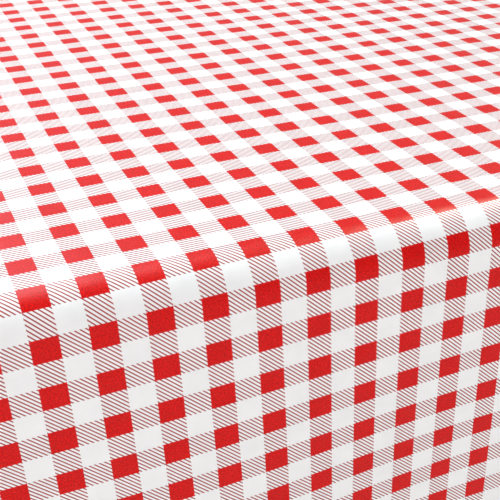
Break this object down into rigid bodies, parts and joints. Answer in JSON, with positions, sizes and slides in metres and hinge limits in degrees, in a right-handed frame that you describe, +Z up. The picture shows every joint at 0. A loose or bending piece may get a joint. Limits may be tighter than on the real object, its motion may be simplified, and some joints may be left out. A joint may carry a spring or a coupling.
{
  "type": "tablecloth on a table",
  "caption": "Rectangular dining table with a gingham wipe-clean tablecloth that lies flat, bends over the rounded edges and hangs in a cone-shaped fold at each corner.",
  "frame": {"origin": "on the floor, under the middle of the table", "axes": "+Z up, +X along the table's long side, the front of the table faces -Y"},
  "size_m": [1.5948, 1.1947, 0.7408],
  "materials": {
    "cloth_vinyl": "red and white gingham print on semi-gloss vinyl with a white fleece back",
    "top_wood": "oiled beech",
    "frame_wood": "oiled beech",
    "bracket_steel": "zinc-plated pressed steel",
    "fastener_steel": "zinc-plated",
    "glide_plastic": "moulded"
  },
  "bodies": {
    "table": {"tabletop": "top_wood", "front_apron": "frame_wood", "back_apron": "frame_wood", "left_apron": "frame_wood", "right_apron": "frame_wood", "front_left_leg": "frame_wood", "front_right_leg": "frame_wood", "back_left_leg": "frame_wood", "back_right_leg": "frame_wood", "front_left_bracket": "bracket_steel", "front_right_bracket": "bracket_steel", "back_left_bracket": "bracket_steel", "back_right_bracket": "bracket_steel", "hanger_bolts": "fastener_steel", "bracket_washers": "fastener_steel", "wing_nuts": "fastener_steel", "bracket_screws": "fastener_steel", "tabletop_clips": "fastener_steel", "clip_screws": "fastener_steel", "leg_glides": "glide_plastic", "glide_nails": "fastener_steel"},
    "cloth": {"tablecloth": "cloth_vinyl"}
  },
  "joints": [
    {"name": "cloth_lift", "type": "slide", "parent": "table", "child": "cloth", "axis": [0, 0, 1], "range_m": [0, 0.4]}
  ]
}
